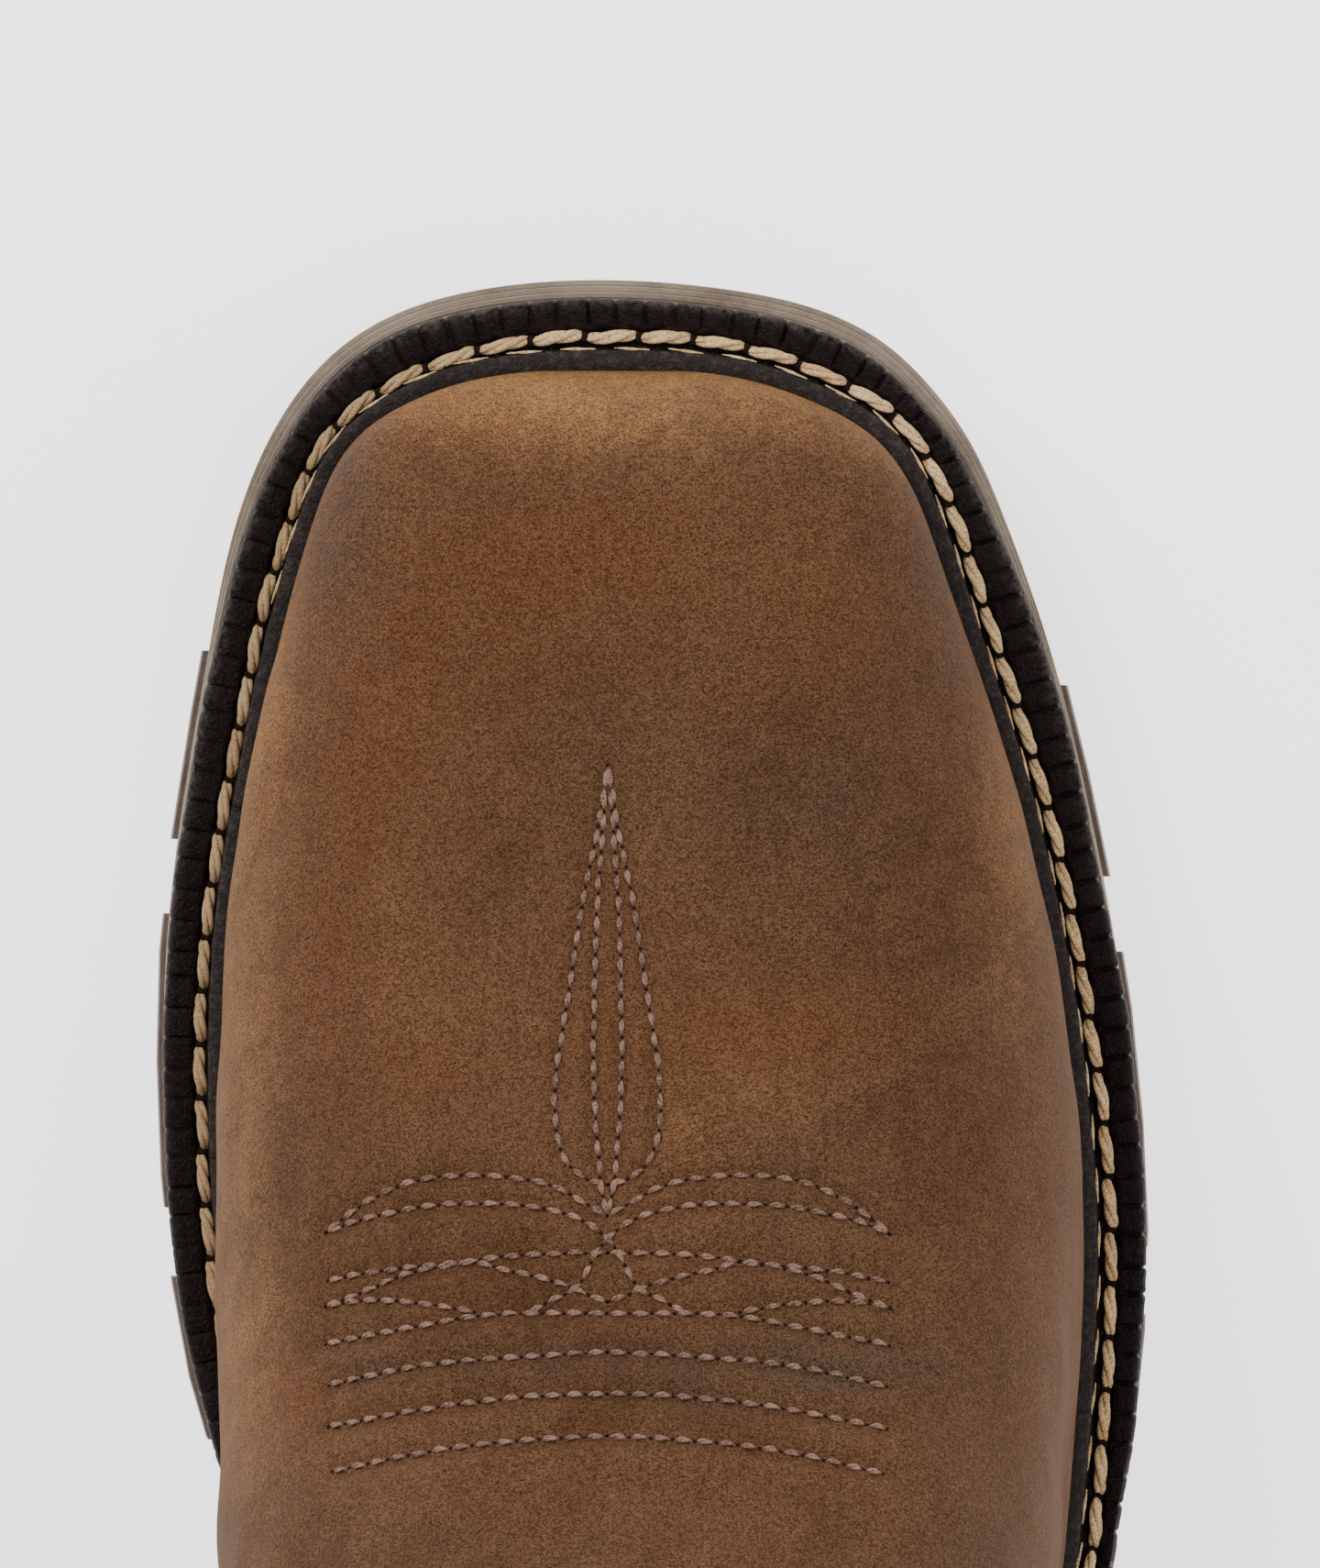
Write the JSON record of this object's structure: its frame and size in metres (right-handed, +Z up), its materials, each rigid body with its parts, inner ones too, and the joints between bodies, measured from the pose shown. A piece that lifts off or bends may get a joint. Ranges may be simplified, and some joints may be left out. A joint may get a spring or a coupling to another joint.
{
  "type": "western work boot",
  "caption": "Pull-on western work boot for the right foot: square toe, welted leather upper with a scalloped collar and pull straps, lugged rubber sole with a block heel.",
  "frame": {"origin": "middle of the bounding box's lower face, on the floor the boot stands on", "axes": "+Z up, +Y from the heel to the toe, +X to the outer side of a right foot"},
  "size_m": [0.1166, 0.306, 0.308],
  "materials": {
    "outsole_rubber": "dusty brown rubber",
    "heel_rubber": "dusty brown rubber",
    "midsole_rubber": "matt grey-taupe rubber with fine lines",
    "welt_leather": "scuffed black, thick cream thread",
    "insole_leather": "plain, matt",
    "upper_leather": "oiled brown nubuck, mottled",
    "counter_leather": "oiled brown nubuck",
    "binding_leather": "smooth brown",
    "strap_leather": "smooth brown",
    "piping_leather": "smooth dark brown"
  },
  "bodies": {
    "root": {"outsole": "outsole_rubber", "heel": "heel_rubber", "midsole": "midsole_rubber", "welt": "welt_leather", "insole": "insole_leather", "upper": "upper_leather", "counter": "counter_leather", "collar_binding": "binding_leather", "pull_strap_medial": "strap_leather", "pull_strap_lateral": "strap_leather", "side_piping_medial": "piping_leather", "side_piping_lateral": "piping_leather"}
  },
  "joints": []
}
